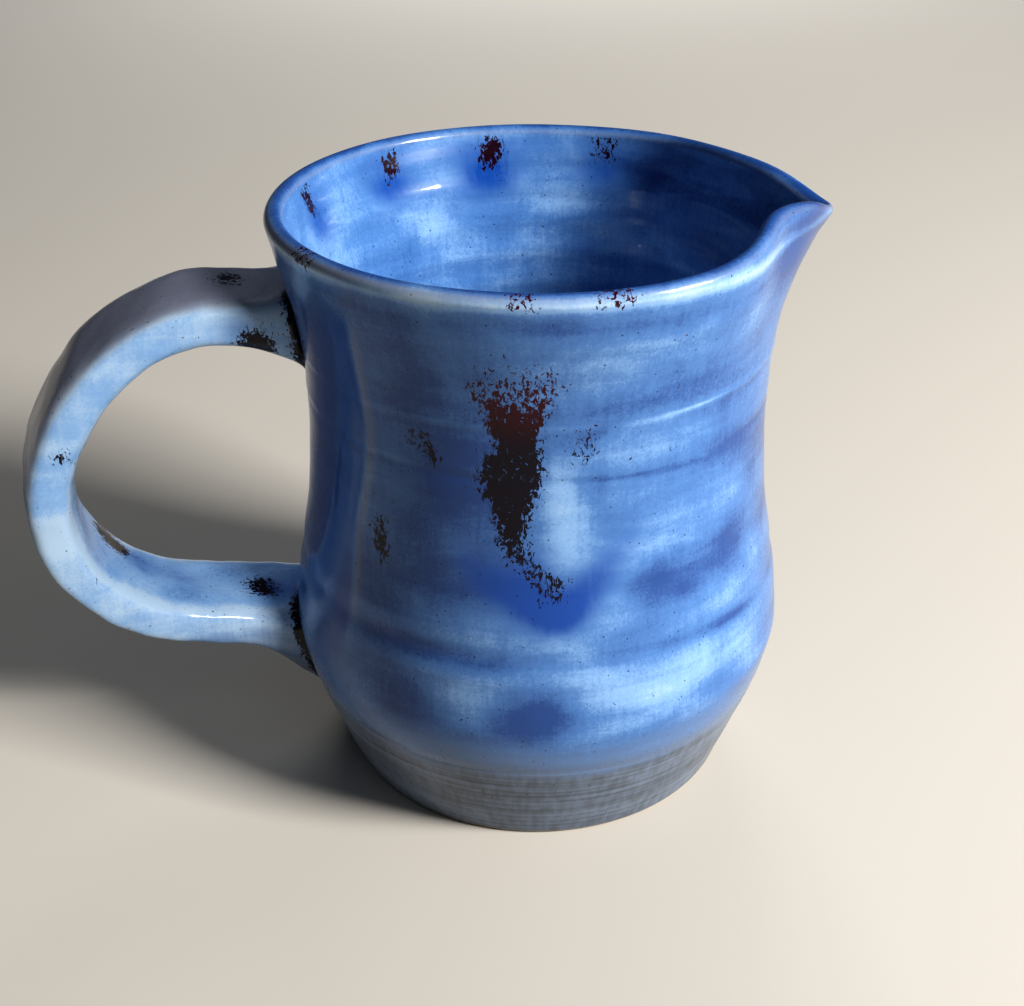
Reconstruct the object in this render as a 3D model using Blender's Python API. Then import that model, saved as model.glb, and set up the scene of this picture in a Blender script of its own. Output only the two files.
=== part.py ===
"""Wheel-thrown ceramic pitcher with a pulled spout and a pulled strap handle.

Frame: the throwing axis is Z, the base stands on z = 0, the spout points to +X and the
handle to -X. Lengths below are in millimetres and become metres where a mesh is made.
"""
import math

import bmesh
import bpy
import numpy as np
from mathutils import Vector

MM = 0.001

# Thrown body
RIM_HEIGHT = 110.0
RIM_RADIUS = 46.7
LIP_THICKNESS = 3.4
FOOT_RADIUS = 37.8
FOOT_CHAMFER = 0.6
FOOT_BAND_HEIGHT = 19.5
BELLY_RADIUS = 46.5
BELLY_HEIGHT = 27.0
WAIST_RADIUS = 41.65
WAIST_HEIGHT = 75.0
SHOULDER_SWELL = 1.25
SHOULDER_HEIGHT = 92.0
FLOOR_THICKNESS = 6.5
WALL_THICKNESS = 4.2
TURN_SEGMENTS = 72

# Pulled spout: angles in degrees from the spout's own line, heights above the base
SPOUT_START_HEIGHT = 79.0
SPOUT_REACH = 5.4
SPOUT_SPREAD = 14.0
SPOUT_SHARPNESS = 1.5
SPOUT_CURL = 2.9
SPOUT_DROOP = 2.8
DROOP_SPREAD = 11.2
PINCH_ANGLE = 31.0
PINCH_RIGHT = 2.8
PINCH_RIGHT_SPREAD = 12.0
PINCH_LEFT = 2.4
PINCH_LEFT_SPREAD = 18.5
PINCH_CURL = 1.75
LIFT_ANGLE = 28.0
LIFT_SPREAD = 20.0
LIFT_RIGHT = 3.6
LIFT_LEFT = 0.8

# Pulled handle: reach is measured from the throwing axis, in the handle's own upright plane
HANDLE_TOP_HEIGHT = 89.4
HANDLE_REACH = 91.8
HANDLE_LOW_HEIGHT = 26.5
HANDLE_LEAN = 13.0
HANDLE_ROOT = (-44.4, 8.0)
STRAP_WIDTH = 21.5
STRAP_CROWN_WIDTH = 23.0
STRAP_THICKNESS = 9.3
STRAP_CROWN_THICKNESS = 8.6
STRAP_SQUARENESS = 4.0
ROOT_THICKENING = 8.0
ROOT_WIDENING = 2.0
ROOT_FLARE_LENGTH = 4.5
STRAP_SIDES = 32
STRAP_STATIONS = 34
JOINT_STATIONS = 6

# Slip joints between the handle's ends and the wall
SLIP_GAP = 0.3
SLIP_THICKNESS = 1.0
SLIP_OVERHANG = 1.0


def smooth_curve(points, count):
    """Return count points on a natural cubic curve through the given ones, evenly spaced."""
    knots = np.array(points, dtype=float)
    chords = np.linalg.norm(np.diff(knots, axis=0), axis=1)
    at = np.concatenate([[0.0], np.cumsum(chords)])
    size = len(knots)
    system = np.eye(size)
    right = np.zeros_like(knots)
    for i in range(1, size - 1):
        before, after = chords[i - 1], chords[i]
        system[i, i - 1:i + 2] = before, 2 * (before + after), after
        right[i] = 6 * ((knots[i + 1] - knots[i]) / after - (knots[i] - knots[i - 1]) / before)
    bend = np.linalg.solve(system, right)
    samples = []
    for place in np.linspace(0, at[-1], count):
        i = min(int(np.searchsorted(at, place, side="right")) - 1, size - 2)
        span = chords[i]
        a = (at[i + 1] - place) / span
        b = 1 - a
        line = a * knots[i] + b * knots[i + 1]
        arch = ((a ** 3 - a) * bend[i] + (b ** 3 - b) * bend[i + 1]) * span ** 2 / 6
        samples.append(line + arch)
    return samples


def hump(angle, centre, spread):
    """A smooth bump of height 1 at centre."""
    return math.exp(-((angle - centre) / spread) ** 2)


def outer_wall(count=30):
    """Outside of the turned wall as (radius, height), from the foot to just under the lip."""
    lip = LIP_THICKNESS / 2
    return smooth_curve([
        (FOOT_RADIUS, 0.0),
        (FOOT_RADIUS + 5.7, FOOT_BAND_HEIGHT - 3.5),
        (BELLY_RADIUS, BELLY_HEIGHT),
        (BELLY_RADIUS - 0.5, BELLY_HEIGHT + 11.0),
        (BELLY_RADIUS - 3.0, BELLY_HEIGHT + 25.0),
        (WAIST_RADIUS, WAIST_HEIGHT),
        (WAIST_RADIUS + SHOULDER_SWELL, SHOULDER_HEIGHT),
        (RIM_RADIUS - 1.15, 103.0),
        (RIM_RADIUS, RIM_HEIGHT - lip),
    ], count)


def inner_wall(count=24):
    """Inside of the wall and the floor as (radius, height), from the lip to the centre."""
    lip = LIP_THICKNESS / 2
    return smooth_curve([
        (RIM_RADIUS - LIP_THICKNESS, RIM_HEIGHT - lip),
        (WAIST_RADIUS + SHOULDER_SWELL - WALL_THICKNESS, SHOULDER_HEIGHT),
        (WAIST_RADIUS - WALL_THICKNESS, WAIST_HEIGHT),
        (BELLY_RADIUS - 3.0 - WALL_THICKNESS, BELLY_HEIGHT + 25.0),
        (BELLY_RADIUS - 4.8, BELLY_HEIGHT + 8.0),
        (BELLY_RADIUS - 5.8, BELLY_HEIGHT - 5.0),
        (FOOT_RADIUS - 1.8, FLOOR_THICKNESS + 6.0),
        (FOOT_RADIUS - 9.0, FLOOR_THICKNESS + 1.6),
        (FOOT_RADIUS - 19.0, FLOOR_THICKNESS + 0.2),
        (0.0, FLOOR_THICKNESS),
    ], count)


def rim_arc(steps=6):
    """The rounded lip between the outer and the inner wall, ends left out."""
    lip = LIP_THICKNESS / 2
    arc = []
    for step in range(1, steps):
        turn = math.pi * step / steps
        arc.append((RIM_RADIUS - lip + lip * math.cos(turn), RIM_HEIGHT - lip + lip * math.sin(turn)))
    return arc


def pull_spout(point):
    """Move one point of the turned form, in millimetres, to where the pulled spout has it."""
    rise = (point.z - SPOUT_START_HEIGHT) / (RIM_HEIGHT - SPOUT_START_HEIGHT)
    if rise <= 0:
        return point
    rise = min(rise, 1.0)
    angle = math.degrees(math.atan2(point.y, point.x))
    tip = math.exp(-(abs(angle) / SPOUT_SPREAD) ** SPOUT_SHARPNESS)
    pinch = (PINCH_RIGHT * hump(angle, -PINCH_ANGLE, PINCH_RIGHT_SPREAD)
             + PINCH_LEFT * hump(angle, PINCH_ANGLE, PINCH_LEFT_SPREAD))
    lift = (LIFT_RIGHT * hump(angle, -LIFT_ANGLE, LIFT_SPREAD)
            + LIFT_LEFT * hump(angle, LIFT_ANGLE, LIFT_SPREAD)
            - SPOUT_DROOP * hump(angle, 0.0, DROOP_SPREAD))
    radius = math.hypot(point.x, point.y)
    grown = radius + SPOUT_REACH * tip * rise ** SPOUT_CURL - pinch * rise ** PINCH_CURL
    return Vector((point.x * grown / radius, point.y * grown / radius, point.z + lift * rise ** 2))


def spin_profile(bm, profile):
    """Turn a profile of (radius, height), from axis to axis, into a closed solid."""
    ring = [bm.verts.new((radius, 0.0, height)) for radius, height in profile]
    edges = [bm.edges.new(pair) for pair in zip(ring, ring[1:])]
    bmesh.ops.spin(bm, geom=ring + edges, axis=(0, 0, 1), cent=(0, 0, 0),
                   angle=2 * math.pi, steps=TURN_SEGMENTS, use_merge=True)
    bmesh.ops.remove_doubles(bm, verts=bm.verts, dist=1e-4)
    bmesh.ops.recalc_face_normals(bm, faces=bm.faces)


def finish_object(name, bm, material=None):
    """Scale a mesh drawn in millimetres to metres and put it in the scene as one object."""
    bmesh.ops.scale(bm, vec=(MM, MM, MM), verts=bm.verts)
    mesh = bpy.data.meshes.new(name)
    bm.to_mesh(mesh)
    bm.free()
    mesh.shade_smooth()
    if material:
        mesh.materials.append(material)
    thing = bpy.data.objects.new(name, mesh)
    bpy.context.scene.collection.objects.link(thing)
    return thing


def make_material(name, colour, roughness):
    material = bpy.data.materials.new(name)
    material.use_nodes = True
    shader = material.node_tree.nodes["Principled BSDF"]
    shader.inputs["Base Color"].default_value = (*colour, 1.0)
    shader.inputs["Roughness"].default_value = roughness
    shader.inputs["Metallic"].default_value = 0.0
    return material


def make_body(material):
    """Floor, wall, lip and pulled spout: one piece of clay."""
    foot = FOOT_RADIUS - FOOT_CHAMFER
    outside = [(radius, height) for radius, height in outer_wall() if height > FOOT_CHAMFER]
    profile = [(0.0, 0.0), (foot / 2, 0.0), (foot, 0.0), (FOOT_RADIUS + 0.2, FOOT_CHAMFER)]
    profile += outside + rim_arc() + list(inner_wall())
    bm = bmesh.new()
    spin_profile(bm, profile)
    for vert in bm.verts:
        vert.co = pull_spout(vert.co)
    body = finish_object("thrown_body", bm, material)
    body.data.set_sharp_from_angle(angle=math.radians(50))
    return body


def wall_envelope(name, offset):
    """A solid as large as the turned wall plus an offset, used only to cut with."""
    wall = [(radius + offset, height) for radius, height in outer_wall()]
    bm = bmesh.new()
    spin_profile(bm, [(0.0, -2.0), (wall[0][0], -2.0)] + wall + [(0.0, RIM_HEIGHT)])
    return hide_cutter(finish_object(name, bm))


def hide_cutter(cutter):
    cutter.hide_render = True
    cutter.display_type = 'WIRE'
    return cutter


def handle_line(count):
    """Middle of the strap as (reach, height), from inside the upper wall to inside the lower."""
    top, low, out = HANDLE_TOP_HEIGHT, HANDLE_LOW_HEIGHT, HANDLE_REACH
    return smooth_curve([
        (out - 53.8, top - 0.6),
        (out - 42.5, top - 1.2),
        (out - 30.5, top),
        (out - 18.2, top - 3.9),
        (out - 6.8, top - 14.3),
        (out, top - 31.5),
        (out - 3.1, low + 15.9),
        (out - 14.8, low + 4.6),
        (out - 29.3, low),
        (out - 41.6, low - 2.7),
        (out - 53.8, low - 6.0),
    ], count)


def handle_frame(line, index):
    """Place and axes of a section: its across axis is the strap's width, its out axis leaves the loop."""
    lean = math.radians(HANDLE_LEAN)
    away = Vector((-math.cos(lean), -math.sin(lean), 0.0))
    across = Vector((math.sin(lean), -math.cos(lean), 0.0))
    root = Vector((HANDLE_ROOT[0], HANDLE_ROOT[1], 0.0))
    root_reach = -HANDLE_ROOT[0]
    reach, height = line[index]
    before, after = line[max(index - 1, 0)], line[min(index + 1, len(line) - 1)]
    step = Vector((after[0] - before[0], after[1] - before[1])).normalized()
    out = (away * -step.y + Vector((0, 0, step.x))).normalized()
    middle = root + away * (reach - root_reach) + Vector((0, 0, height))
    return middle, across, out


def strap_size(line, index):
    """Width and thickness of the strap at a station: it swells where it meets the wall."""
    along = index / (len(line) - 1)
    wall = WAIST_RADIUS + 1.0 if along < 0.5 else BELLY_RADIUS - 0.3
    near_wall = math.exp(-max(line[index][0] - wall, 0.0) / ROOT_FLARE_LENGTH)
    crown = math.sin(math.pi * along) ** 2
    width = STRAP_WIDTH + (STRAP_CROWN_WIDTH - STRAP_WIDTH) * crown + ROOT_WIDENING * near_wall
    thickness = (STRAP_THICKNESS + (STRAP_CROWN_THICKNESS - STRAP_THICKNESS) * crown
                 + ROOT_THICKENING * near_wall)
    return width, thickness


def section_points(line, index, grow=0.0):
    """Points round one rounded section of the strap."""
    middle, across, out = handle_frame(line, index)
    width, thickness = strap_size(line, index)
    power = 2 / STRAP_SQUARENESS
    points = []
    for side in range(STRAP_SIDES):
        turn = 2 * math.pi * side / STRAP_SIDES
        c, s = math.cos(turn), math.sin(turn)
        x = math.copysign(abs(c) ** power, c) * (width / 2 + grow)
        y = math.copysign(abs(s) ** power, s) * (thickness / 2 + grow)
        points.append(middle + across * x + out * y)
    return points


def loft(sections):
    """Extrude one end face through every section, which leaves a closed solid."""
    bm = bmesh.new()
    start = bm.faces.new([bm.verts.new(point) for point in sections[0]])
    face = start
    for section in sections[1:]:
        grown = bmesh.ops.extrude_face_region(bm, geom=[face])["geom"]
        if face is not start:
            bm.faces.remove(face)
        face = next(item for item in grown if isinstance(item, bmesh.types.BMFace))
        for vert, point in zip(face.verts, section):
            vert.co = point
    bmesh.ops.recalc_face_normals(bm, faces=bm.faces)
    return bm


def add_boolean(thing, cutter, operation):
    boolean = thing.modifiers.new(cutter.name, 'BOOLEAN')
    boolean.object = cutter
    boolean.operation = operation
    boolean.solver = 'EXACT'


def make_handle(material, cutter):
    """The pulled strap, cut to stand on the two slip joints."""
    line = handle_line(STRAP_STATIONS)
    bm = loft([section_points(line, index) for index in range(STRAP_STATIONS)])
    handle = finish_object("pulled_handle", bm, material)
    add_boolean(handle, cutter, 'DIFFERENCE')
    return handle


def make_slip_joint(name, material, stations, inner_cutter, outer_limit):
    """A thin layer of slip between one end of the strap and the wall, a little wider than the strap."""
    line = handle_line(STRAP_STATIONS)
    bm = loft([section_points(line, index, SLIP_OVERHANG) for index in stations])
    joint = finish_object(name, bm, material)
    add_boolean(joint, inner_cutter, 'DIFFERENCE')
    add_boolean(joint, outer_limit, 'INTERSECT')
    return joint


def main():
    for thing in list(bpy.data.objects):
        bpy.data.objects.remove(thing)
    glaze = make_material("blue_glaze", (0.20, 0.33, 0.62), 0.18)
    handle_glaze = make_material("handle_glaze", (0.30, 0.45, 0.74), 0.18)
    slip = make_material("glazed_slip", (0.16, 0.27, 0.52), 0.22)

    wall_side = wall_envelope("cutter_wall_side", SLIP_GAP)
    slip_side = wall_envelope("cutter_slip_side", SLIP_GAP + SLIP_THICKNESS)
    handle_side = wall_envelope("cutter_handle_side", 2 * SLIP_GAP + SLIP_THICKNESS)

    make_body(glaze)
    make_handle(handle_glaze, handle_side)
    upper = range(JOINT_STATIONS)
    lower = range(STRAP_STATIONS - JOINT_STATIONS, STRAP_STATIONS)
    make_slip_joint("upper_slip_joint", slip, upper, wall_side, slip_side)
    make_slip_joint("lower_slip_joint", slip, lower, wall_side, slip_side)


main()
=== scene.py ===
import math

import bmesh
import bpy
import numpy as np
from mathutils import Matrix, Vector, noise


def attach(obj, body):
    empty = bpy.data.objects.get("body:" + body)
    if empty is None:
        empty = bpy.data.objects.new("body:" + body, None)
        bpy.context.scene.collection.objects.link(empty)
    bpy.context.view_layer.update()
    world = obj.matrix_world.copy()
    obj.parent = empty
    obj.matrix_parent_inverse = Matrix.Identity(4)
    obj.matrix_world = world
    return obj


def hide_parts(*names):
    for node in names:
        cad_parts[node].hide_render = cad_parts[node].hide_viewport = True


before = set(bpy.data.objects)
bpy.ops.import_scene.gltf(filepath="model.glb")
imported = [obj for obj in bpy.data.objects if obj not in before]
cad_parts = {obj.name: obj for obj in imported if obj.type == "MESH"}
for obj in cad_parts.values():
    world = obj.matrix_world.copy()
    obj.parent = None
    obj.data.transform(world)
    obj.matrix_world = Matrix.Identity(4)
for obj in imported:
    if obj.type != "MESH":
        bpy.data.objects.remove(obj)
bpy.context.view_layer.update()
mm = 0.001    # sizes of the pieces below are in millimetres, angles in degrees from the spout's line
print("frame loaded")

# The turned wall, used by the body and by the flares of the handle
wall = {
    'rimHeight': 110.0,
    'rimRadius': 46.7,
    'lipRadius': 1.7,
    'outside': [(37.8, 0.0), (43.5, 16.0), (46.5, 27.0), (46.0, 38.0), (43.5, 52.0),
                (41.65, 75.0), (42.9, 92.0), (45.55, 103.0), (46.7, 108.3)],
    'inside': [(43.3, 108.3), (38.7, 92.0), (37.45, 75.0), (39.3, 52.0), (41.7, 35.0),
               (40.7, 22.0), (36.0, 12.5), (28.8, 8.1), (18.8, 6.7), (0.0, 6.5)],
}


def smoothCurve(points, count):
    # natural cubic curve through the given points, evenly spaced along it
    knots = np.array(points, dtype=float)
    chords = np.linalg.norm(np.diff(knots, axis=0), axis=1)
    at = np.concatenate([[0.0], np.cumsum(chords)])
    size = len(knots)
    system, right = np.eye(size), np.zeros_like(knots)
    for i in range(1, size - 1):
        before, after = chords[i - 1], chords[i]
        system[i, i - 1:i + 2] = before, 2 * (before + after), after
        right[i] = 6 * ((knots[i + 1] - knots[i]) / after - (knots[i] - knots[i - 1]) / before)
    bend = np.linalg.solve(system, right)
    samples = []
    for place in np.linspace(0, at[-1], count):
        i = min(int(np.searchsorted(at, place, side="right")) - 1, size - 2)
        a = (at[i + 1] - place) / chords[i]
        b = 1 - a
        arch = ((a ** 3 - a) * bend[i] + (b ** 3 - b) * bend[i + 1]) * chords[i] ** 2 / 6
        samples.append(a * knots[i] + b * knots[i + 1] + arch)
    return np.array(samples)


outsideCurve = smoothCurve(wall['outside'], 600)


def wallRadius(height):
    return float(np.interp(height, outsideCurve[:, 1], outsideCurve[:, 0]))


def hump(value, centre, spread):
    return math.exp(-((value - centre) / spread) ** 2)


def ease(value, low, high):
    t = min(max((value - low) / (high - low), 0.0), 1.0)
    return t * t * (3 - 2 * t)


def newPiece(name, bm, material, sharpAngle):
    bmesh.ops.scale(bm, vec=(mm, mm, mm), verts=bm.verts)
    mesh = bpy.data.meshes.new(name)
    bm.to_mesh(mesh)
    bm.free()
    mesh.shade_smooth()
    mesh.set_sharp_from_angle(angle=math.radians(sharpAngle))
    mesh.materials.append(material)
    piece = bpy.data.objects.new(name, mesh)
    bpy.context.scene.collection.objects.link(piece)
    return piece


def paint(piece, name, values):
    layer = piece.data.attributes.new(name, 'FLOAT', 'POINT')
    layer.data.foreach_set('value', values)


# Small helpers for the glaze's nodes
def put(tree, kind, settings=None, values=None):
    node = tree.nodes.new("ShaderNode" + kind)
    for key, value in (settings or {}).items():
        setattr(node, key, value)
    for socket, value in (values or {}).items():
        if isinstance(value, bpy.types.NodeSocket):
            tree.links.new(value, node.inputs[socket])
        else:
            node.inputs[socket].default_value = value
    return node


def calc(tree, operation, a, b=0.0, c=0.0, clamp=False):
    settings = {'operation': operation, 'use_clamp': clamp}
    return put(tree, "Math", settings, {0: a, 1: b, 2: c}).outputs[0]


def fade(tree, value, low, high):
    settings = {'interpolation_type': 'SMOOTHSTEP'}
    values = {'Value': value, 'From Min': low, 'From Max': high}
    return put(tree, "MapRange", settings, values).outputs[0]


def blendColour(tree, amount, under, over, mode='MIX'):
    settings = {'data_type': 'RGBA', 'blend_type': mode}
    return put(tree, "Mix", settings, {0: amount, 6: under, 7: over}).outputs[2]


def stretched(tree, place, scale, shift=(0, 0, 0)):
    return put(tree, "Mapping", None, {'Vector': place, 'Scale': scale, 'Location': shift}).outputs[0]


def cloud(tree, place, scale, detail=2.0, rough=0.5, warp=0.0):
    values = {'Vector': place, 'Scale': scale, 'Detail': detail, 'Roughness': rough, 'Distortion': warp}
    return put(tree, "TexNoise", None, values).outputs[0]


def sway(tree, pattern, amount, value):
    # moves a value up and down by a pattern that runs from 0 to 1
    return calc(tree, 'MULTIPLY_ADD', calc(tree, 'SUBTRACT', pattern, 0.5), amount, value)


def painted(tree, name):
    return put(tree, "Attribute", {'attribute_name': name}).outputs['Fac']


glaze = {
    'milky': (0.37, 0.50, 0.65, 1),
    'pale': (0.190, 0.340, 0.58, 1),
    'middle': (0.062, 0.162, 0.385, 1),
    'deep': (0.014, 0.056, 0.205, 1),
    'cobalt': (0.002, 0.050, 0.26, 1),
    'thin': (0.068, 0.083, 0.105, 1),
    'thinPale': (0.155, 0.200, 0.280, 1),
    'veil': (0.115, 0.18, 0.31, 1),
    'clay': (0.33, 0.27, 0.20, 1),
    'darkClay': (0.24, 0.185, 0.13, 1),
    'ironRed': (0.030, 0.0006, 0.0045, 1),
    'ironDark': (0.0022, 0.0003, 0.0060, 1),
    'breakingAndSheen': (0.23, 0.215, 0.23, 1),
    # how far each pattern moves the tone, and the tones between which the colours change
    'ringTone': 0.42,
    'cloudTone': 1.25,
    'runTone': 0.26,
    'grainTone': 0.55,
    'deepToMiddle': (-0.55, 0.06),
    'middleToPale': (-0.04, 0.46),
    'paleToMilky': (0.40, 0.90),
    'poolEdge': (0.05, 1.05),
    'ironEdge': (0.46, 0.60),
    'ironFray': 2.6,
    'speckSize': (0.05, 0.085),
    'speckAmount': 0.75,
    # heights between which the thin glaze, the veil above it and the bare clay end
    'footEdge': (17.5, 22.0),
    'veilEdge': (19.5, 30.0),
    'bareEdge': (0.45, 0.75),
    # roughness of the glaze, and what the dry foot and the bare clay add to it
    'gloss': 0.26,
    'dryness': 0.20,
    'bareDryness': 0.40,
    'coat': 0.36,
    'shine': 0.14,
    'coatGloss': 0.05,
    'glassiness': 1.42,
    'bump': 0.35,
    'bumpHeight': 0.2,
}


def makeGlaze(name, look):
    material = bpy.data.materials.new(name)
    material.use_nodes = True
    tree = material.node_tree
    shader = tree.nodes["Principled BSDF"]
    place = put(tree, "TexCoord").outputs['Object']
    place = put(tree, "VectorMath", {'operation': 'SCALE'}, {0: place, 'Scale': 1 / mm}).outputs[0]
    height = put(tree, "SeparateXYZ", None, {0: place}).outputs[2]

    # how thick the glaze lies: throwing rings, drifting clouds, fine vertical runs
    rings = cloud(tree, stretched(tree, place, (0.018, 0.018, 0.34)), 1.0, 3.0, 0.6)
    clouds = cloud(tree, stretched(tree, place, (0.050, 0.050, 0.085), (3, 1, 0)), 1.0, 4.0, 0.55, 0.5)
    runs = cloud(tree, stretched(tree, place, (0.95, 0.95, 0.07)), 1.0, 2.0, 0.6)
    grain = cloud(tree, place, 1.9, 4.0, 0.75)
    tone = sway(tree, rings, look['ringTone'], painted(tree, "tone"))
    tone = sway(tree, clouds, look['cloudTone'], tone)
    tone = sway(tree, runs, look['runTone'], tone)
    tone = sway(tree, grain, look['grainTone'], tone)
    colour = blendColour(tree, fade(tree, tone, *look['deepToMiddle']), look['deep'], look['middle'])
    colour = blendColour(tree, fade(tree, tone, *look['middleToPale']), colour, look['pale'])
    colour = blendColour(tree, fade(tree, tone, *look['paleToMilky']), colour, look['milky'])

    # cobalt gathered where the glaze pools; the same mask also paints shade as deep cobalt in the wiped zone
    # and at the handle's joints
    pool = sway(tree, runs, 0.45, painted(tree, "pool"))
    pool = sway(tree, grain, 0.5, pool)
    colour = blendColour(tree, fade(tree, pool, *look['poolEdge']), colour, look['cobalt'])

    # thin grey glaze over the trimmed foot, breaking along the turning lines
    ragged = sway(tree, clouds, 7.0, height)
    ragged = sway(tree, rings, 5.0, ragged)
    ragged = sway(tree, runs, 3.0, ragged)
    lines = cloud(tree, stretched(tree, place, (0.02, 0.02, 1.05)), 1.0, 2.0, 0.6)
    weave = cloud(tree, stretched(tree, place, (0.75, 0.75, 0.10), (9, 4, 2)), 1.0, 2.0, 0.5)
    worn = calc(tree, 'MULTIPLY_ADD', weave, 0.40, calc(tree, 'MULTIPLY', lines, 0.75))
    worn = calc(tree, 'MULTIPLY_ADD', clouds, 0.25, worn)
    foot = blendColour(tree, fade(tree, worn, 0.48, 0.92), look['thin'], look['thinPale'])
    veil = blendColour(tree, fade(tree, ragged, *look['veilEdge']), look['veil'], colour)
    footEdge = fade(tree, ragged, *look['footEdge'])
    colour = blendColour(tree, footEdge, foot, veil)

    # grey on the lip's roundings, a painted glint line along the wiped edge, and painted shade with a dull
    # reflection on the outside of the handle's crown
    colour = blendColour(tree, painted(tree, "edge"), colour, look['breakingAndSheen'])

    # iron oxide, ragged at its edges
    flecks = cloud(tree, stretched(tree, place, (1.0, 1.0, 0.60)), 1.45, 3.0, 0.7, 0.6)
    iron = sway(tree, flecks, look['ironFray'], painted(tree, "iron"))
    ironMask = fade(tree, iron, *look['ironEdge'])
    ironDepth = sway(tree, grain, 0.6, painted(tree, "depth"))
    ironColour = blendColour(tree, fade(tree, ironDepth, 0.1, 0.8), look['ironRed'], look['ironDark'])
    colour = blendColour(tree, ironMask, colour, ironColour)

    # pinholes and tiny dark specks
    specks = put(tree, "TexVoronoi", {'feature': 'F1'}, {'Vector': place, 'Scale': 0.42}).outputs['Distance']
    speckMask = calc(tree, 'SUBTRACT', 1.0, fade(tree, specks, *look['speckSize']))
    speckMask = calc(tree, 'MULTIPLY', speckMask, look['speckAmount'])
    colour = blendColour(tree, speckMask, colour, look['ironDark'])

    # bare clay where the glaze was wiped off the foot
    bare = calc(tree, 'SUBTRACT', 1.0, fade(tree, sway(tree, grain, 0.5, height), *look['bareEdge']))
    clayTone = cloud(tree, place, 0.9, 4.0, 0.7)
    clay = blendColour(tree, fade(tree, clayTone, 0.3, 0.75), look['clay'], look['darkClay'])
    colour = blendColour(tree, bare, colour, clay)

    # the glaze is a little uneven in gloss, and dry on the foot
    rough = calc(tree, 'MULTIPLY_ADD', grain, 0.10, look['gloss'] - 0.05)
    dryFoot = calc(tree, 'SUBTRACT', 1.0, footEdge)
    rough = calc(tree, 'MULTIPLY_ADD', dryFoot, look['dryness'], rough)
    rough = calc(tree, 'MULTIPLY_ADD', bare, look['bareDryness'], rough)

    # turning lines on the foot, grain and runs in the glaze, and iron sunk into it
    bump = calc(tree, 'MULTIPLY', worn, dryFoot)
    bump = calc(tree, 'MULTIPLY_ADD', grain, 0.25, calc(tree, 'MULTIPLY', bump, 0.6))
    bump = calc(tree, 'MULTIPLY_ADD', runs, 0.15, bump)
    bump = calc(tree, 'MULTIPLY_ADD', ironMask, -0.15, bump)
    relief = {'Height': bump, 'Strength': look['bump'], 'Distance': look['bumpHeight'] * mm}
    normal = put(tree, "Bump", None, relief).outputs[0]

    tree.links.new(colour, shader.inputs['Base Color'])
    tree.links.new(rough, shader.inputs['Roughness'])
    tree.links.new(normal, shader.inputs['Normal'])
    shader.inputs['IOR'].default_value = look['glassiness']
    shader.inputs['Specular IOR Level'].default_value = look['shine']
    shader.inputs['Coat Weight'].default_value = look['coat']
    shader.inputs['Coat Roughness'].default_value = look['coatGloss']
    return material


bodyGlaze = makeGlaze("bodyGlaze", glaze)
handleGlaze = makeGlaze("handleGlaze", glaze)
slipGlaze = makeGlaze("slipGlaze", glaze)
print("glazes mixed")

# Thrown body: floor, wall, lip and pulled spout
body = {
    'steps': 256,
    'chamfer': 0.6,
    'band': 20.2,    # height of the trimmed foot
    'bandRow': 0.26,
    'wallRow': 0.62,
    'innerRows': 96,
    'lipSteps': 14,
    'lipZone': (104.5, 108.5),    # heights over which the relief fades to the lip
    'floorZone': (8.0, 20.0),     # heights over which the inner wall turns into the floor
    'drift': 0.8,         # how far the rings are from level
    'wander': 0.10,       # unevenness of the wall, of its lip and of the inside
    'lipWander': 0.25,
    'innerWander': 0.3,
    'footLines': 0.035,
    'innerPitch': 6.4,    # rise of the finger's spiral inside, for each turn
    'innerRing': 0.20,
    # throwing rings as height, proud of the wall, half width
    'rings': [(20.4, -0.16, 0.7), (24.6, -0.10, 1.4), (29.3, 0.12, 1.6), (35.5, -0.08, 2.6),
              (40.2, 0.13, 1.4), (44.2, -0.24, 1.7), (48.6, 0.08, 1.8), (56.0, -0.06, 2.8),
              (66.0, 0.06, 2.5), (76.9, -0.12, 0.6), (78.3, 0.05, 1.0), (85.2, -0.08, 0.8),
              (86.4, 0.13, 0.6), (93.5, -0.06, 2.0), (101.5, 0.08, 1.6), (105.3, -0.10, 1.0)],
}

# The spout is pulled out from its start height up, pinched in on both sides, and its lips are lifted
spout = {
    'start': 79.0, 'reach': 5.4, 'spread': 14.0, 'sharpness': 1.5, 'curl': 2.9,
    'droop': 2.8, 'droopSpread': 11.2,
    'pinchAngle': 31.0, 'pinchRight': 2.8, 'pinchRightSpread': 12.0,
    'pinchLeft': 2.4, 'pinchLeftSpread': 18.5, 'pinchCurl': 1.75,
    'liftAngle': 28.0, 'liftSpread': 20.0, 'liftRight': 3.6, 'liftLeft': 0.8,
}


def pullSpout(point):
    rise = (point.z - spout['start']) / (wall['rimHeight'] - spout['start'])
    if rise <= 0:
        return point
    rise = min(rise, 1.0)
    angle = math.degrees(math.atan2(point.y, point.x))
    tip = math.exp(-(abs(angle) / spout['spread']) ** spout['sharpness'])
    pinch = (spout['pinchRight'] * hump(angle, -spout['pinchAngle'], spout['pinchRightSpread'])
             + spout['pinchLeft'] * hump(angle, spout['pinchAngle'], spout['pinchLeftSpread']))
    lift = (spout['liftRight'] * hump(angle, -spout['liftAngle'], spout['liftSpread'])
            + spout['liftLeft'] * hump(angle, spout['liftAngle'], spout['liftSpread'])
            - spout['droop'] * hump(angle, 0.0, spout['droopSpread']))
    radius = math.hypot(point.x, point.y)
    grown = radius + spout['reach'] * tip * rise ** spout['curl'] - pinch * rise ** spout['pinchCurl']
    scale = grown / radius
    return Vector((point.x * scale, point.y * scale, point.z + lift * rise ** 2))


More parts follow.
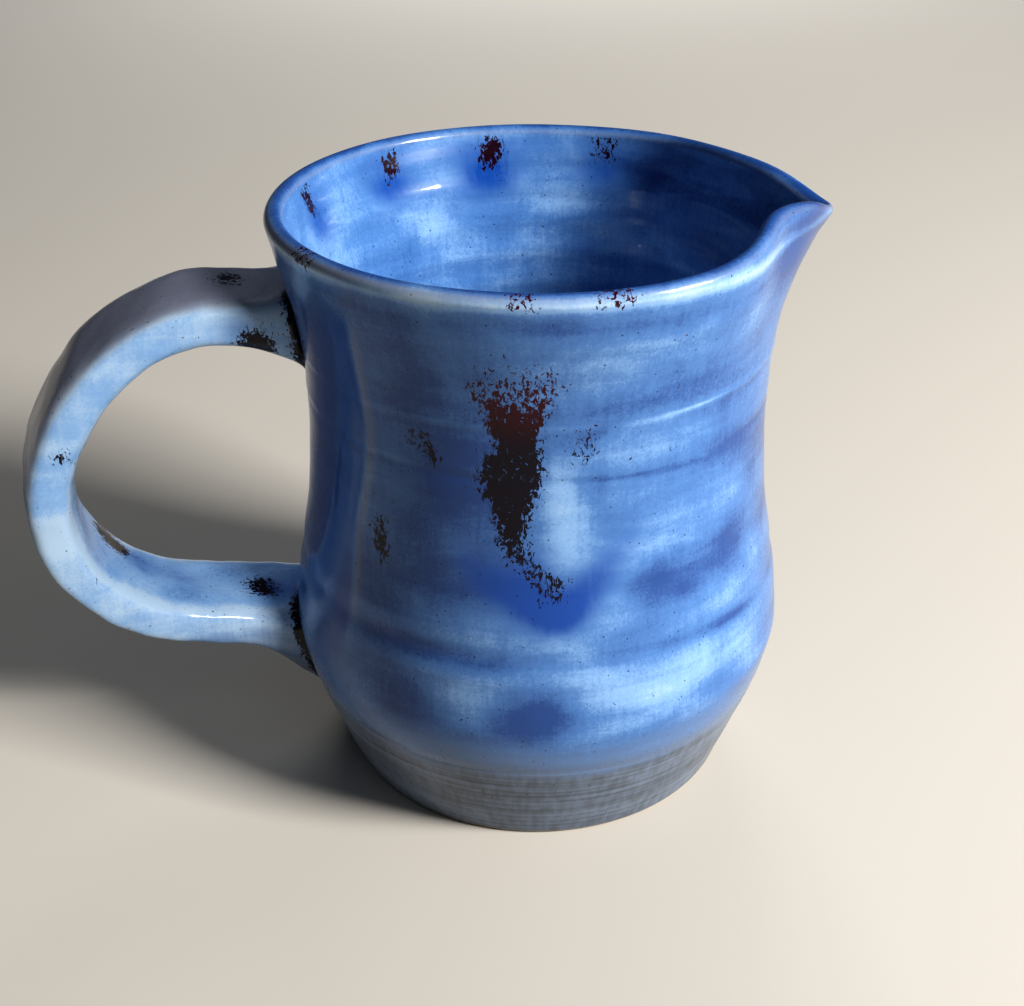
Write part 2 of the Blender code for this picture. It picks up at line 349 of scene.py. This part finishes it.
# The zone wiped clean round the handle's roots, and the ridge of glaze at its edge
wiped = {
    'edge': -136.5,
    'waist': 75.0,
    'slope': 0.13,
    'wave': 1.1,
    'waveLength': 5.5,
    'farSide': 14.0,
    'ridge': 0.24,
    'ridgeWidth': 1.7,
    'farRidgeWidth': 1.9,
    # pool paints shade as deeper cobalt inside the zone, line a painted glint along its edge
    'pool': 0.75,
    'line': 0.4,
}


def wipedEdge(height):
    # the angle where the wiped zone ends on its near side
    sweep = wiped['slope'] * (height - wiped['waist'])
    return wiped['edge'] + sweep + wiped['wave'] * math.sin(height / wiped['waveLength'])


def ringRelief(angle, height):
    # finger rings and turning lines, not quite level round the pot
    turn = math.radians(angle)
    c, s = math.cos(turn), math.sin(turn)
    drift = body['drift'] * noise.noise(Vector((c * 0.9, s * 0.9, 4.2)))
    relief = sum(size * hump(height - drift, centre, spread) for centre, size, spread in body['rings'])
    relief *= 0.75 + 0.9 * noise.noise(Vector((c * 1.1, s * 1.1, height * 0.05)))
    relief += body['wander'] * noise.noise(Vector((c * 0.7, s * 0.7, height * 0.16)))
    relief += body['wander'] * noise.noise(Vector((c * 1.6, s * 1.6, height * 0.03)))
    edge = wipedEdge(height)
    ridge = hump(angle, edge, wiped['ridgeWidth'])
    ridge += hump(angle, wiped['farSide'] - edge, wiped['farRidgeWidth'])
    relief += wiped['ridge'] * ridge * ease(height, 36, 46) * (1 - ease(height, 96, 106))
    if height < body['band']:
        relief += body['footLines'] * noise.noise(Vector((c * 0.5, s * 0.5, height * 1.15)))
    return relief


def innerRelief(angle, height):
    # the spiral that a finger leaves inside
    turn = math.radians(angle)
    climb = height / body['innerPitch'] + angle / 360
    uneven = noise.noise(Vector((math.cos(turn) * 0.9, math.sin(turn) * 0.9, height * 0.09)))
    return body['innerRing'] * math.sin(2 * math.pi * climb) + body['innerWander'] * uneven


def makeBody():
    foot = wall['outside'][0][0]
    heights = np.concatenate([
        np.arange(body['chamfer'] + 0.25, body['band'], body['bandRow']),
        np.arange(body['band'], wall['rimHeight'] - wall['lipRadius'], body['wallRow'])])
    profile = [(foot * share, 0.0) for share in (0.0, 0.25, 0.5, 0.75, 0.92)]
    profile += [(foot - body['chamfer'], 0.0), (foot - 0.35, 0.08), (foot - 0.05, 0.3)]
    profile += [(wallRadius(height), height) for height in heights]
    lipMiddle = wall['rimRadius'] - wall['lipRadius']
    lipHeight = wall['rimHeight'] - wall['lipRadius']
    lipSteps = body['lipSteps']
    for step in range(lipSteps + 1):
        turn = math.pi * step / lipSteps
        profile.append((lipMiddle + wall['lipRadius'] * math.cos(turn),
                        lipHeight + wall['lipRadius'] * math.sin(turn)))
    lipEnd = len(profile)
    profile += [tuple(point) for point in smoothCurve(wall['inside'], body['innerRows'])[1:]]

    bm = bmesh.new()
    side = bm.verts.layers.float.new("side")    # 0 outside, 1 inside, between on the lip
    ring = [bm.verts.new((radius, 0.0, height)) for radius, height in profile]
    for index, vert in enumerate(ring):
        vert[side] = min(max((index - lipEnd + lipSteps + 1) / lipSteps, 0.0), 1.0)
    edges = [bm.edges.new(pair) for pair in zip(ring, ring[1:])]
    bmesh.ops.spin(bm, geom=ring + edges, axis=(0, 0, 1), cent=(0, 0, 0),
                   angle=2 * math.pi, steps=body['steps'], use_merge=True)
    bmesh.ops.remove_doubles(bm, verts=bm.verts, dist=1e-4)
    bmesh.ops.recalc_face_normals(bm, faces=bm.faces)
    relief = bm.verts.layers.float.new("relief")
    for vert in bm.verts:
        radius = math.hypot(vert.co.x, vert.co.y)
        height = vert.co.z
        if height < body['chamfer'] or radius < 1.0:
            continue
        angle = math.degrees(math.atan2(vert.co.y, vert.co.x))
        nearLip = ease(height, *body['lipZone'])
        if vert[side] > 0.5:
            push = innerRelief(angle, height) * (1 - nearLip) * ease(radius, 3.0, 20.0)
            upright = ease(height, *body['floorZone'])
            vert.co.z += push * (1 - upright)    # on the floor it moves up and down
            push *= upright
        else:
            push = ringRelief(angle, height) * (1 - 0.8 * nearLip) * ease(height, 0.6, 3.0)
            vert[relief] = push
        scale = (radius + push) / radius
        vert.co.x *= scale
        vert.co.y *= scale
        uneven = noise.noise(Vector((vert.co.x * 0.04, vert.co.y * 0.04, 7.7)))
        vert.co.z += body['lipWander'] * nearLip * uneven
        vert.co = pullSpout(vert.co)
    return newPiece("thrownWall", bm, bodyGlaze, 50)


# Soft marks in the glaze: angle, height, half width, half height, climb per degree, amount
bodyMarks = {
    'tone': [(-89, 75, 5.5, 6.5, 0, 0.62), (-87, 66, 5.0, 6.0, 0, 0.36), (-68, 36, 18, 5.0, 0, 0.46),
             (-66, 30, 14, 3.0, 0, 0.12), (-112, 37, 10, 4.0, 0, 0.32), (-40, 36, 10, 5.0, 0, 0.30),
             (-93, 33, 7, 4.5, 0, -0.70), (-93, 40, 5, 3.0, 0, -0.12), (-64, 66, 9, 5.5, 0.1, 0.26),
             (-42, 58.5, 8, 5.0, 0, -0.38), (-58, 53.5, 5, 2.2, -0.1, -0.34), (-74, 54, 9, 3.5, 0, 0.18),
             (-113, 76, 8, 6.0, 0, -0.42), (-113, 65, 5, 3.5, 0, 0.30), (-118, 56, 10, 4.0, 0, -0.26),
             (-80, 98.5, 26, 3.2, 0, 0.16), (-115, 99, 14, 5.0, 0, -0.10), (-75, 89, 22, 3.5, 0, -0.26),
             (-44, 84, 10, 4.0, -0.1, -0.18), (-60, 80.5, 14, 2.5, 0, 0.12), (-75, 104.2, 45, 1.2, 0, -0.22),
             (-40, 98, 10, 5.0, 0, 0.22), (-100, 46.5, 26, 2.4, 0, 0.16), (-58, 48.5, 16, 2.0, -0.06, 0.10),
             (-62, 44.0, 14, 0.9, -0.06, -0.20), (-43, 43.1, 9, 1.0, -0.05, -0.50),
             # (-120, 70) darkens the front left side, and (-24, 104), (-21, 108) and (-6, 103) darken under
             # the spout: painted shade
             (-120, 70, 16, 30, 0, -0.24), (-24, 104, 12, 5.0, 0, -0.50), (-21, 108, 9, 4.0, 0, -0.60),
             (-6, 103, 9, 8.0, 0, -0.50), (-70, 76.5, 18, 0.55, -0.04, -0.34),
             # (-56, 86.6) is a narrow pale line along the ridge: a painted highlight
             (-110, 86.3, 24, 0.5, 0, 0.14), (-56, 86.6, 13, 0.45, 0.03, 0.50), (-58, 82, 20, 4.0, 0, 0.16),
             (-100, 84, 20, 12, 0, -0.16), (-65, 21.2, 28, 1.2, 0, -0.34),
             (-104, 24.5, 16, 3.0, 0, 0.30), (-60, 25, 20, 2.0, 0, 0.12), (-72, 28.5, 8, 1.6, 0, -0.22),
             (-125, 32, 8, 5.0, 0, -0.35), (-22, 72, 12, 8.0, 0.2, -0.20), (-28, 52, 10, 4.0, 0, 0.18),
             (-66, 57, 7, 3.5, 0.2, -0.30), (-47, 75, 14, 5.0, 0, -0.26),
             (8, 62, 22, 8.0, 0.1, -0.34), (20, 38, 20, 6.0, 0, 0.42), (38, 84, 18, 6.0, 0, 0.26),
             (62, 50, 14, 7.0, 0, -0.40), (84, 68, 9, 8.0, 0, 0.50), (100, 36, 18, 5.0, 0, 0.36),
             (118, 88, 16, 6.0, 0, -0.22), (128, 58, 12, 8.0, 0, -0.34), (146, 36, 14, 6.0, 0, 0.30),
             (156, 70, 10, 10, 0, 0.24), (-152, 56, 9, 12, 0, -0.30), (44, 43.8, 50, 1.0, 0.02, -0.30)],
    'pool': [(-90, 52.8, 7.0, 3.6, 0, 0.95), (-99, 56.5, 8.5, 4.2, -0.25, 0.85),
             (-84, 56, 7.0, 4.6, 0.45, 0.62), (-76, 62, 7.5, 5.5, 0.5, 0.42),
             (-108, 60, 6.0, 5.0, -0.4, 0.50), (-95, 61, 6.0, 5.0, 0, 0.55),
             (-117, 75, 8.0, 5.5, 0, 0.40), (-150, 30, 12, 8.0, 0, 0.40), (-134, 92, 4.0, 8.0, 0, 0.35),
             (64, 47, 10, 3.5, 0, 0.95), (57, 54, 6, 5.0, 0, 0.50), (72, 55, 6, 5.0, 0, 0.55),
             (104, 84, 5.0, 5.0, 0, 0.60), (172, 30, 22, 3.0, 0, 0.35)],
}
innerMarks = {
    'tone': [(154, 96, 14, 5.0, 0, 0.24), (121, 95.5, 12, 4.5, 0, 0.20), (80, 96.5, 13, 3.6, 0, 0.20),
             (91, 88, 24, 5.0, 0, 0.10), (132, 88, 18, 6.0, 0, -0.12), (61, 91, 11, 4.0, 0, 0.24),
             # (35, 100), (15, 97) and (-30, 95) darken the inside toward the spout: painted shade
             (35, 100, 15, 8.0, 0, -0.35), (15, 97, 15, 12, 0, -0.35), (72, 87.5, 10, 3.5, 0, -0.26),
             (54, 102, 10, 4.0, 0, -0.34), (-170, 92, 14, 9.0, 0, 0.28), (-30, 95, 20, 10, 0, -0.30),
             (-80, 80, 30, 9.0, 0, 0.15), (-130, 84, 20, 8.0, 0, -0.15), (110, 74, 40, 5.0, 0, 0.20),
             (80, 106.5, 80, 1.6, 0, -0.15)],
    'pool': [(160, 101.5, 8, 4.6, 0, 0.75), (129, 101.8, 8, 3.8, 0, 0.85), (100, 101.5, 10, 4.8, 0, 1.05),
             (68, 102.5, 9, 3.6, 0, 0.70), (115, 106.5, 60, 1.6, 0, 0.30), (-20, 103, 12, 4.0, 0, 0.40),
             (-110, 103, 8, 4.0, 0, 0.50)],
}

# Iron runs, from the top down: height, left edge, right edge, how far the edge frays, how full it is
ironRuns = [
    [(96.0, -104, -92, 5.0, 0.36), (93.5, -107.5, -89.5, 5.0, 0.50), (91, -106.5, -91.0, 4.0, 0.62),
     (89, -105.5, -92.0, 3.5, 0.80), (86, -104.5, -93.5, 3.0, 1.0), (83, -102.8, -93.5, 3.0, 1.0),
     (80.5, -105.5, -92.5, 3.5, 0.85), (78, -107.0, -92.5, 3.5, 0.95), (74, -105.5, -94.5, 3.0, 1.0),
     (70, -103.5, -96.0, 3.0, 1.0), (67, -102.5, -96.5, 3.5, 0.95), (64, -101.0, -97.5, 4.0, 0.6)],
    [(65, -100, -96.0, 4.0, 0.60), (62, -98.5, -94.0, 4.5, 0.50), (59, -95, -88.5, 4.5, 0.52),
     (56.5, -92, -88.5, 4.5, 0.50)],
    [(82.5, -122.5, -119, 4.0, 0.50), (81, -122, -116.5, 4.5, 0.52), (79.7, -118.0, -116.0, 4.5, 0.50)],
    [(64, -134.5, -131.5, 4.0, 0.55), (60, -134, -130.0, 4.0, 0.9), (58, -132, -130.5, 4.0, 0.6)],
    [(84.0, -84.3, -83.3, 6.0, 0.45), (82.2, -84.3, -83.3, 6.0, 0.45)],
    [(73, 60, 68, 4.0, 0.6), (66, 58, 70, 3.5, 1.0), (58, 61, 68, 3.5, 1.0), (51, 63, 66, 4.0, 0.6)],
    [(104, 98, 104, 4.0, 0.6), (99, 97, 107, 4.0, 0.9), (93, 100, 104, 4.0, 0.6)],
    [(110.4, -98.5, -96.0, 4.0, 0.50), (109.6, -98.5, -96.0, 4.0, 0.50)],
    [(110.4, -82.0, -77.5, 4.0, 0.48), (109.8, -82.0, -77.5, 4.0, 0.48)],
    [(110.4, -149, -143, 4.0, 0.50), (109.6, -149, -143, 4.0, 0.50)],
]
innerIron = [
    [(107.6, 160.0, 163.4, 3.0, 0.9), (103.8, 160.5, 163.4, 3.0, 0.8)],
    [(106.8, 125.5, 130.0, 3.0, 0.9), (104.2, 126.5, 130.5, 3.0, 0.9)],
    [(107.5, 96.5, 101.0, 3.0, 0.7), (104.8, 95.5, 102.0, 3.0, 0.95), (103.4, 98.0, 101.0, 4.0, 0.6)],
    [(107.6, 65.5, 71.0, 5.0, 0.46), (105.6, 66.0, 70.0, 5.0, 0.46)],
    [(106.0, -112, -108, 4.0, 0.7), (102.5, -111, -109, 4.0, 0.6)],
    [(72.0, 110, 116, 4.0, 0.6), (66.0, 111, 115, 4.0, 0.6)],
]


def softMarks(marks, angle, height):
    total = 0.0
    for centre, middle, width, tall, climb, amount in marks:
        turn = (angle - centre + 180) % 360 - 180
        if abs(turn) < 2.5 * width:
            rise = height - middle - climb * turn
            total += amount * math.exp(-(turn / width) ** 2 - (rise / tall) ** 2)
    return total


def ironAt(runs, angle, height):
    # 1 well inside a run, falling to 0 outside it
    best = 0.0
    for run in runs:
        rows = sorted(run)
        low, high = rows[0][0], rows[-1][0]
        if not low - 5 < height < high + 5:
            continue
        heights = [row[0] for row in rows]
        left, right, fray, full = [float(np.interp(height, heights, [row[i] for row in rows]))
                                   for i in (1, 2, 3, 4)]
        inset = min(angle - left, right - angle) * 0.74
        inset = min(inset, height - low + 0.8, high - height + 0.8)
        best = max(best, min(0.5 + inset / fray, full))
    return min(max(best, 0.0), 1.0)


def glazeBody(piece):
    mesh = piece.data
    sides = [item.value for item in mesh.attributes["side"].data]
    relief = [item.value for item in mesh.attributes["relief"].data]
    layers = {'tone': [], 'pool': [], 'iron': [], 'depth': [], 'edge': []}
    for index, vert in enumerate(mesh.vertices):
        x, y, z = vert.co / mm
        angle = math.degrees(math.atan2(y, x))
        side = sides[index]
        marks = innerMarks if side > 0.5 else bodyMarks
        iron = ironAt(innerIron if side > 0.95 else ironRuns, angle, z)
        # paler on the ridges; darker on top of the lip, a painted dark reflection
        tone = softMarks(marks['tone'], angle, z) + 0.9 * relief[index] - 0.5 * hump(side, 0.55, 0.2) - 0.07
        lipEdge = 0.25 + 0.5 * hump(abs(angle), 150, 45)
        edge = lipEdge * hump(side, 0.20, 0.13) + 0.3 * hump(side, 0.85, 0.08)
        pool = softMarks(marks['pool'], angle, z)
        if side < 0.4:
            tone += 0.85 * hump(z, 108.4, 1.2)    # milky where it thins below the lip, with a painted highlight there
            # deeper cobalt between the wiped edge and the handle: painted shade
            start = wipedEdge(z)
            inZone = ease(start - angle, 0.0, 2.5) * (1 - ease(-160 - angle, 0.0, 12.0))
            pool += wiped['pool'] * inZone * ease(z, 30, 44) * (1 - ease(z, 98, 106))
            # a pale line along the wiped edge: a painted glint
            line = hump(angle, start + 0.6, 1.2) * ease(z, 40, 50) * (1 - ease(z, 94, 104))
            edge += wiped['line'] * line
        else:
            tone += 0.12
        values = {'tone': tone, 'pool': pool, 'iron': iron, 'edge': edge,
                  'depth': 1 - ease(z, 76.0, 95.0) if side < 0.5 else 0.55}    # runs darken downwards
        for key, value in values.items():
            layers[key].append(value)
    for key, values in layers.items():
        paint(piece, key, values)


thrownWall = makeBody()
glazeBody(thrownWall)
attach(thrownWall, "root")
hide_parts("thrown_body")
print("body thrown:", len(thrownWall.data.polygons), "faces")

# Pulled strap handle, leaning a little off the middle line
handle = {
    'line': [(38.0, 88.8), (49.3, 88.2), (61.3, 89.4), (73.6, 85.5), (85.0, 75.1), (91.8, 57.9),
             (88.7, 42.4), (77.0, 31.1), (62.5, 26.5), (50.2, 23.8), (38.0, 20.5)],
    'lean': 13.0,
    'root': (-44.4, 8.0),
    'width': 21.5,
    'crownWidth': 23.0,
    'thickness': 9.3,
    'crownThickness': 8.6,
    'squareness': 4.0,
    'sides': 96,
    'stations': 220,
    'unevenness': 0.45,
}
# Slip smoothed from the strap onto the wall, as angle round the strap, amount, spread.
# Round the strap 0 is its near side, 90 the outside of the loop, 180 its far side, 270 the inside
upperJoint = {
    'rings': 36,
    'sink': 0.25,
    'length': [(270, 10.5, 55), (0, 9.0, 60), (180, 8.0, 50)], 'lengthBase': 5.5,
    'reach': [(270, 5.0, 50), (0, -1.0, 45), (90, -0.4, 40), (180, 2.6, 50)], 'reachBase': 3.4,
    'bulge': [(0, 2.6, 50)],
}
lowerJoint = {
    'rings': 36,
    'sink': 0.25,
    'length': [(65, 9.0, 50), (0, 5.5, 50), (180, 6.0, 50)], 'lengthBase': 6.0,
    'reach': [(55, 6.4, 34), (0, -1.2, 40), (270, 0.6, 40), (180, 2.0, 50)], 'reachBase': 3.8,
    'bulge': [(0, 1.8, 45), (60, 2.2, 36)],
}
strapLine = smoothCurve(handle['line'], 400)
lineLength = sum(np.linalg.norm(np.diff(strapLine, axis=0), axis=1))


def strapPoint(turn, along):
    # a point of the strap's skin; turn runs round its section, along from the upper root to the lower
    at = along * (len(strapLine) - 1)
    low = min(int(at), len(strapLine) - 2)
    share = at - low
    reach, height = strapLine[low] * (1 - share) + strapLine[low + 1] * share
    before = strapLine[max(low - 2, 0)]
    after = strapLine[min(low + 3, len(strapLine) - 1)]
    step = (after - before) / np.linalg.norm(after - before)
    lean = math.radians(handle['lean'])
    away = Vector((-math.cos(lean), -math.sin(lean), 0.0))
    across = Vector((math.sin(lean), -math.cos(lean), 0.0))
    out = away * -step[1] + Vector((0, 0, step[0]))
    root = Vector((*handle['root'], 0.0))
    middle = root + away * (reach + handle['root'][0]) + Vector((0, 0, height))
    crown = math.sin(math.pi * along) ** 2
    width = handle['width'] + (handle['crownWidth'] - handle['width']) * crown
    thickness = handle['thickness'] + (handle['crownThickness'] - handle['thickness']) * crown
    c, s = math.cos(turn), math.sin(turn)
    power = 2 / handle['squareness']
    x = math.copysign(abs(c) ** power, c) * width / 2
    y = math.copysign(abs(s) ** power, s) * thickness / 2
    point = middle + across * x + out * y
    lump = noise.noise(point * 0.09 + Vector((3.1, 0, 5.2))) + 0.4 * noise.noise(point * 0.25)
    return point + (across * x * 0.3 + out * y).normalized() * lump * handle['unevenness']


def wallGap(point):
    return math.hypot(point.x, point.y) - wallRadius(point.z)


def meetWall(turn, low, high):
    # where along the strap this line of its skin reaches the wall; low is inside it
    for tries in range(24):
        half = (low + high) / 2
        if wallGap(strapPoint(turn, half)) > 0:
            high = half
        else:
            low = half
    return high


def roundStrap(base, humps, turn):
    # a size that changes round the strap's section
    degrees = math.degrees(turn)
    return base + sum(amount * hump((degrees - at + 180) % 360 - 180, 0, spread)
                      for at, amount, spread in humps)


def onWall(point, sink):
    radius = math.hypot(point.x, point.y)
    scale = (wallRadius(point.z) - sink) / radius
    return Vector((point.x * scale, point.y * scale, point.z))


def loft(rings):
    # extrudes one face through every ring, which leaves a closed solid
    bm = bmesh.new()
    turnLayer = bm.verts.layers.float.new("turn")
    start = bm.faces.new([bm.verts.new(point) for point in rings[0]])
    for vert, turn in zip(start.verts, turns):
        vert[turnLayer] = turn
    face = start
    for ring in rings[1:]:
        grown = bmesh.ops.extrude_face_region(bm, geom=[face])["geom"]
        if face is not start:
            bm.faces.remove(face)
        face = next(item for item in grown if isinstance(item, bmesh.types.BMFace))
        for vert, point, turn in zip(face.verts, ring, turns):
            vert.co = point
            vert[turnLayer] = turn
    bmesh.ops.recalc_face_normals(bm, faces=bm.faces)
    return bm


turns = [2 * math.pi * side / handle['sides'] for side in range(handle['sides'])]
upperMeet = [meetWall(turn, 0.0, 0.3) for turn in turns]
lowerMeet = [meetWall(turn, 1.0, 0.7) for turn in turns]
upperEnd = [at + roundStrap(upperJoint['lengthBase'], upperJoint['length'], turn) / lineLength
            for turn, at in zip(turns, upperMeet)]
lowerEnd = [at - roundStrap(lowerJoint['lengthBase'], lowerJoint['length'], turn) / lineLength
            for turn, at in zip(turns, lowerMeet)]


def strapRings():
    rings = []
    for station in range(handle['stations'] + 1):
        share = station / handle['stations']
        rings.append([strapPoint(turn, upper + (lower - upper) * share)
                      for turn, upper, lower in zip(turns, upperEnd, lowerEnd)])
    return rings


def flareRings(joint, meet, ends):
    # rings from the strap's end down a fillet onto the wall
    first = [strapPoint(turn, at) for turn, at in zip(turns, ends)]
    corner = [strapPoint(turn, at) for turn, at in zip(turns, meet)]
    count = len(turns)
    middle = sum(corner, Vector()) / count
    last = []
    bulges = []
    for i in range(count):
        outward = (corner[i] - first[i]).cross(corner[(i + 1) % count] - corner[i - 1]).normalized()
        if outward.dot(corner[i] - middle) < 0:
            outward = -outward
        reach = roundStrap(joint['reachBase'], joint['reach'], turns[i])
        last.append(onWall(corner[i] + outward * reach, joint['sink']))
        bulges.append(outward * roundStrap(0, joint['bulge'], turns[i]))
    rings = []
    for ring in range(joint['rings'] + 1):
        t = (ring / joint['rings']) ** 1.25
        swell = t * (1 - t) * 4 * ease(t, 0.0, 0.6)
        rings.append([first[i] * (1 - t) ** 2 + corner[i] * 2 * t * (1 - t) + last[i] * t ** 2
                      + bulges[i] * swell for i in range(count)])
    return rings


# Marks on the strap and its joints: x, y, z, radius, amount
strapMarks = {
    'tone': [(-62, 5.5, 30.5, 4, -0.25), (-76, 2, 35.0, 4, -0.30), (-72, -9, 30.5, 9, 0.10),
             (-68, 2, 93, 10, -0.20), (-87, -14, 52, 7, 0.15), (-76, -12, 80, 4, -0.20),
             (-56, -4, 27, 7, 0.20), (-92, -4, 62, 10, -0.15), (-62, 3, 29, 4, 0.25),
             (-70, -4, 32, 4, -0.25), (-84, -10, 44, 4, -0.12)],
    'pool': [(-53, 4, 29.0, 3.6, 0.9), (-68, 2, 32.5, 3.0, 0.30), (-79, 4, 38, 4.5, 0.5),
             (-72, 3.5, 33.7, 4, 0.4), (-52, -5, 88.5, 3.4, 0.45), (-66, 4, 93, 4, 0.30)],
    'iron': [(-84.3, -12.9, 68.5, 1.7, 0.85), (-84.4, 5.0, 42.8, 3.0, 1.05), (-81.4, 4.2, 39.8, 2.8, 1.0),
             (-54.6, 4.0, 29.8, 3.4, 1.05), (-74.0, 2.8, 34.3, 1.4, 0.6), (-49.5, -5.0, 85.4, 3.6, 1.20),
             (-55.3, 7.6, 93.3, 3.2, 0.85), (-90, 6, 66, 3.0, 0.7)],
}


def glazeStrap(piece):
    # paler on the near and far faces, painted light; greyer along the outside of the crown, painted shade
    # with a dull reflection
    turnOf = [item.value for item in piece.data.attributes["turn"].data]
    layers = {'tone': [], 'pool': [], 'iron': [], 'depth': [], 'edge': []}
    for index, vert in enumerate(piece.data.vertices):
        place = vert.co / mm
        found = {key: sum(amount * math.exp(-((place - Vector((x, y, z))).length / size) ** 2)
                          for x, y, z, size, amount in marks) for key, marks in strapMarks.items()}
        across, out = math.cos(turnOf[index]), math.sin(turnOf[index])
        corner = abs(across * out) * 2
        gap = max(wallGap(place), 0.0)
        nearSide = ease(across, 0.0, 0.6)
        # milky on the near and far faces, painted light, with a painted highlight on the corners; darker and
        # with more iron next to the wall
        found['tone'] += 0.16 + 0.46 * ease(abs(across), 0.45, 0.9) + 0.22 * ease(corner, 0.7, 1.0)
        # paler on the inside of the loop: painted light
        found['tone'] += 0.22 * ease(-out, 0.3, 0.9)
        found['tone'] *= 1 - 0.8 * (1 - nearSide) * math.exp(-gap / 4.0)
        # cobalt pooled next to the wall, deepened as painted shade in the crease
        found['pool'] += 0.9 * math.exp(-gap / 1.4)
        # grey on the outside of the upper strap: painted shade with a dull reflection
        found['edge'] = 0.75 * ease(out, 0.35, 0.85) * ease(place.z, 50, 80)
        found['depth'] = 0.75
        # black iron on the near side next to the wall: painted shade in the crease
        found['iron'] = min(max(found['iron'], 1.15 * nearSide * math.exp(-(gap / 1.9) ** 2)), 1.0)
        for key, values in layers.items():
            values.append(found[key])
    for key, values in layers.items():
        paint(piece, key, values)


def addStrapPiece(name, rings, material, node):
    piece = newPiece(name, loft(rings), material, 60)
    glazeStrap(piece)
    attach(piece, "root")
    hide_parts(node)
    return piece


strapPieces = [
    addStrapPiece("pulledStrap", strapRings(), handleGlaze, "pulled_handle"),
    addStrapPiece("upperFlare", flareRings(upperJoint, upperMeet, upperEnd), slipGlaze,
                  "upper_slip_joint"),
    addStrapPiece("lowerFlare", flareRings(lowerJoint, lowerMeet, lowerEnd), slipGlaze,
                  "lower_slip_joint"),
]
print("handle pulled and joined")

# Studio
studio = {
    'floor': (0.47, 0.44, 0.395, 1),
    'floorHalf': 3.0,
    'floorRoughness': 0.9,
    'floorShine': 0.1,
    'world': (0.55, 0.62, 0.75, 1),
    'worldStrength': 0.085,
    'aim': (0, 0, 0.055),
    # each lamp as angle, rise, distance, size, power, colour
    'keyWindow': (-31, 33, 1.0, (0.28, 0.24), 21.0, (1.0, 0.98, 0.95)),
    'handleWindow': (-57, 30, 1.0, (0.20, 0.16), 11.5, (1.0, 0.98, 0.95)),
    'frontFill': (-75, 50, 1.3, (0.7, 0.5), 0.6, (0.85, 0.92, 1.0)),
    'backFill': (84, 20, 1.2, (0.5, 0.4), 6.0, (0.95, 0.97, 1.0)),
}


def makeFloor():
    bm = bmesh.new()
    bmesh.ops.create_grid(bm, x_segments=1, y_segments=1, size=studio['floorHalf'])
    mesh = bpy.data.meshes.new("floor")
    bm.to_mesh(mesh)
    bm.free()
    material = bpy.data.materials.new("paleFloor")
    material.use_nodes = True
    shader = material.node_tree.nodes["Principled BSDF"]
    shader.inputs['Base Color'].default_value = studio['floor']
    shader.inputs['Roughness'].default_value = studio['floorRoughness']
    shader.inputs['Specular IOR Level'].default_value = studio['floorShine']
    mesh.materials.append(material)
    floor = bpy.data.objects.new("floor", mesh)
    bpy.context.scene.collection.objects.link(floor)


def addSoftbox(name):
    angle, rise, distance, size, power, colour = studio[name]
    data = bpy.data.lights.new(name, 'AREA')
    data.shape = 'RECTANGLE'
    data.size, data.size_y = size
    data.energy = power
    data.color = colour
    lamp = bpy.data.objects.new(name, data)
    turn, up = math.radians(angle), math.radians(rise)
    spot = Vector((math.cos(turn) * math.cos(up), math.sin(turn) * math.cos(up), math.sin(up)))
    lamp.location = Vector(studio['aim']) + spot * distance
    lamp.rotation_euler = (-spot).to_track_quat('-Z', 'Y').to_euler()
    bpy.context.scene.collection.objects.link(lamp)
    return lamp


def linkLight(lamp, pieces, state):
    # 'INCLUDE' lights only these pieces, 'EXCLUDE' lights everything but them
    lit = bpy.data.collections.new(lamp.name + "Pieces")
    for piece in pieces:
        lit.objects.link(piece)
    lamp.light_linking.receiver_collection = lit
    for item in lit.collection_objects:
        item.light_linking.link_state = state


makeFloor()
keyWindow = addSoftbox("keyWindow")
handleWindow = addSoftbox("handleWindow")
frontFill = addSoftbox("frontFill")
backFill = addSoftbox("backFill")
frontFill.visible_glossy = False    # the fills give no highlights
backFill.visible_glossy = False
linkLight(keyWindow, strapPieces, 'EXCLUDE')    # the body would cut the key's light off from the handle
linkLight(handleWindow, strapPieces, 'INCLUDE')

world = bpy.data.worlds.new("softRoom")
world.use_nodes = True
world.node_tree.nodes["Background"].inputs[0].default_value = studio['world']
world.node_tree.nodes["Background"].inputs[1].default_value = studio['worldStrength']
bpy.context.scene.world = world
bpy.context.scene.view_settings.view_transform = 'Standard'
bpy.context.scene.view_settings.look = 'Medium High Contrast'

eye = {
    'lens': 50.98,
    'sensor': 36.0,
    'place': (-0.016859, -0.241092, 0.188168),
    'tilt': (60.107, 0.2665, -3.0425),
}
camera = bpy.data.cameras.new("camera")
camera.sensor_fit = 'HORIZONTAL'
camera.sensor_width = eye['sensor']
camera.lens = eye['lens']
camera.clip_start = 0.01
viewer = bpy.data.objects.new("camera", camera)
viewer.location = eye['place']
viewer.rotation_euler = tuple(math.radians(turn) for turn in eye['tilt'])
bpy.context.scene.collection.objects.link(viewer)
bpy.context.scene.camera = viewer
print("studio lit")
